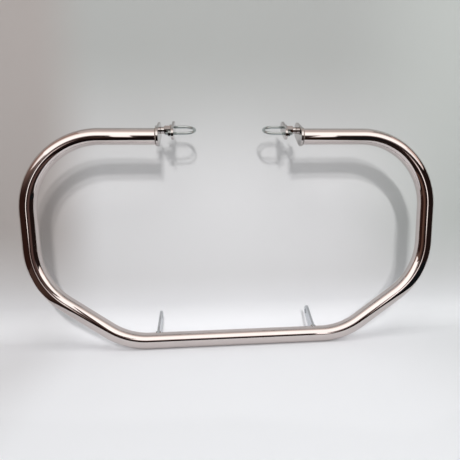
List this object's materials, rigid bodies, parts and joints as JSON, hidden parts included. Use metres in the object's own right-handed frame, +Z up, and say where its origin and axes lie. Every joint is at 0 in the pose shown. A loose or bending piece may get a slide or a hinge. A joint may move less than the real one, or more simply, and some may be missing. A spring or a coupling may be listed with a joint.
{
  "type": "motorcycle crash bars",
  "caption": "Chrome tube crash bars: a loop open at the top, with a raked U-bolt clamp on each arm and a drilled tab on each side of the bottom run.",
  "frame": {"origin": "middle of the axis through the holes of the two tabs", "axes": "+X to the right seen from the front, +Y back towards the engine, +Z up"},
  "size_m": [0.8318, 0.0898, 0.4632],
  "materials": {
    "polished_tube": "polished",
    "polished_fittings": "polished",
    "zinc_fasteners": "zinc plated",
    "plain_steel": "satin",
    "weld_bead": "as welded"
  },
  "bodies": {
    "root": {"guard_tube": "polished_tube", "left_end_plate": "polished_fittings", "right_end_plate": "polished_fittings", "left_end_weld": "weld_bead", "right_end_weld": "weld_bead", "left_clamp_bolt": "zinc_fasteners", "right_clamp_bolt": "zinc_fasteners", "left_spacer": "polished_fittings", "right_spacer": "polished_fittings", "left_clamp_nut": "polished_fittings", "right_clamp_nut": "polished_fittings", "left_nut_weld": "weld_bead", "right_nut_weld": "weld_bead", "left_saddle_plate": "polished_fittings", "right_saddle_plate": "polished_fittings", "left_u_bolt": "zinc_fasteners", "right_u_bolt": "zinc_fasteners", "left_u_bolt_washers": "zinc_fasteners", "right_u_bolt_washers": "zinc_fasteners", "left_u_bolt_nuts": "zinc_fasteners", "right_u_bolt_nuts": "zinc_fasteners", "left_tab": "plain_steel", "right_tab": "plain_steel", "left_tab_welds": "weld_bead", "right_tab_welds": "weld_bead"}
  },
  "joints": []
}
